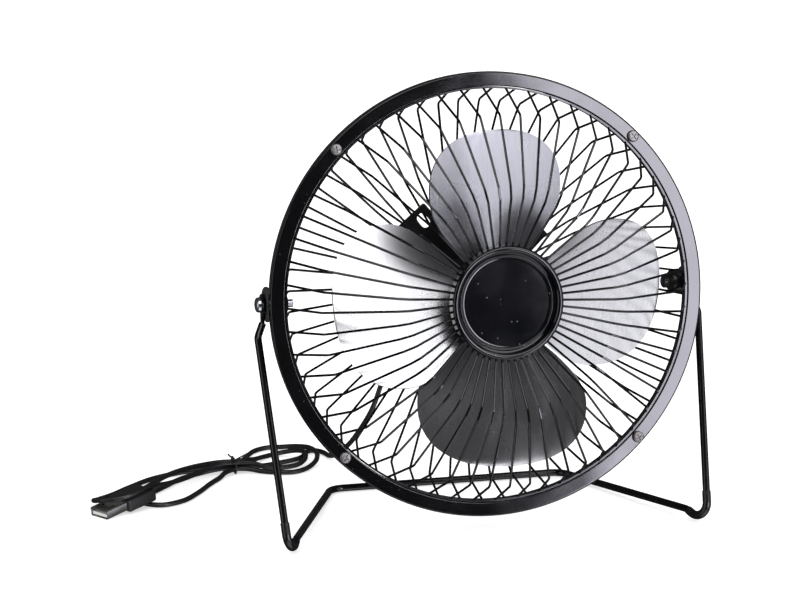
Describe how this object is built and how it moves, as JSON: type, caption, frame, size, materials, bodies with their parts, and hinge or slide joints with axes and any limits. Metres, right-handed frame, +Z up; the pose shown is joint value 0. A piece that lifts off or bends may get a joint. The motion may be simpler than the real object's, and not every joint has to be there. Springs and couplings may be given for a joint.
{
  "type": "desk fan",
  "caption": "Small round desk fan: wire-guarded metal impeller head that tilts on two side pivots in a bent-wire stand, with a USB lead.",
  "frame": {"origin": "on the surface the fan stands on, straight below the head's tilt axis, midway between the two pivots", "axes": "+Z up, the fan's front faces -Y, +X to the right seen from the front"},
  "size_m": [0.2968, 0.2082, 0.2215],
  "materials": {
    "enamel": "glossy black enamel",
    "black_steel": "satin black",
    "black_plastic": "fine matt",
    "rubber": "matt",
    "cord": "satin black jacket",
    "aluminium": "brushed",
    "zinc": "zinc plated",
    "steel": "bright",
    "tin": "tin plated",
    "iron": "plain",
    "tongue": "plain"
  },
  "bodies": {
    "stand": {"stand_frame": "enamel", "foot_sleeve_left": "rubber", "foot_sleeve_right": "rubber", "pivot_screw_left": "zinc", "pivot_screw_right": "zinc", "pivot_nut_left": "black_steel", "pivot_nut_right": "black_steel", "pivot_washer_left": "rubber", "pivot_washer_right": "rubber", "cord_drop": "cord", "cord_floor": "cord", "cord_tie": "black_plastic", "plug_body": "black_plastic", "plug_shell": "tin", "plug_tongue": "tongue"},
    "rotor": {"impeller": "aluminium", "impeller_boss": "steel", "impeller_rivet_1": "steel", "impeller_rivet_2": "steel", "shaft_collar": "steel", "motor_shaft": "steel", "armature": "iron"},
    "rocker": {"switch_rocker": "black_plastic"},
    "head": {"front_ring": "enamel", "rear_ring": "enamel", "front_guard": "enamel", "rear_guard": "enamel", "badge_cap": "enamel", "rear_housing": "black_plastic", "switch_frame": "black_plastic", "cord_relief": "black_plastic", "motor_end_cap": "black_plastic", "motor_bracket": "black_steel", "motor_can": "black_steel", "pivot_lug_left": "black_steel", "pivot_lug_right": "black_steel", "housing_screw_1": "zinc", "housing_screw_2": "zinc", "motor_magnet": "iron", "rim_screw_1": "zinc", "rim_nut_1": "zinc", "rim_screw_2": "zinc", "rim_nut_2": "zinc", "rim_screw_3": "zinc", "rim_nut_3": "zinc", "rim_screw_4": "zinc", "rim_nut_4": "zinc"}
  },
  "joints": [
    {"name": "head_tilt", "type": "hinge", "parent": "stand", "child": "head", "pos_m": [0, 0, 0.1134], "axis": [-1, 0, 0], "range_deg": [-30, 60], "deforming": ["cord_drop"]},
    {"name": "blade_spin", "type": "hinge", "parent": "head", "child": "rotor", "pos_m": [0, 0, 0.1134], "axis": [0, -0.9942, 0.1071], "continuous": true},
    {"name": "switch_rocker", "type": "hinge", "parent": "head", "child": "rocker", "pos_m": [0, 0.04416, 0.11568], "axis": [0, -0.1071, -0.9942], "range_deg": [0, 18]}
  ]
}
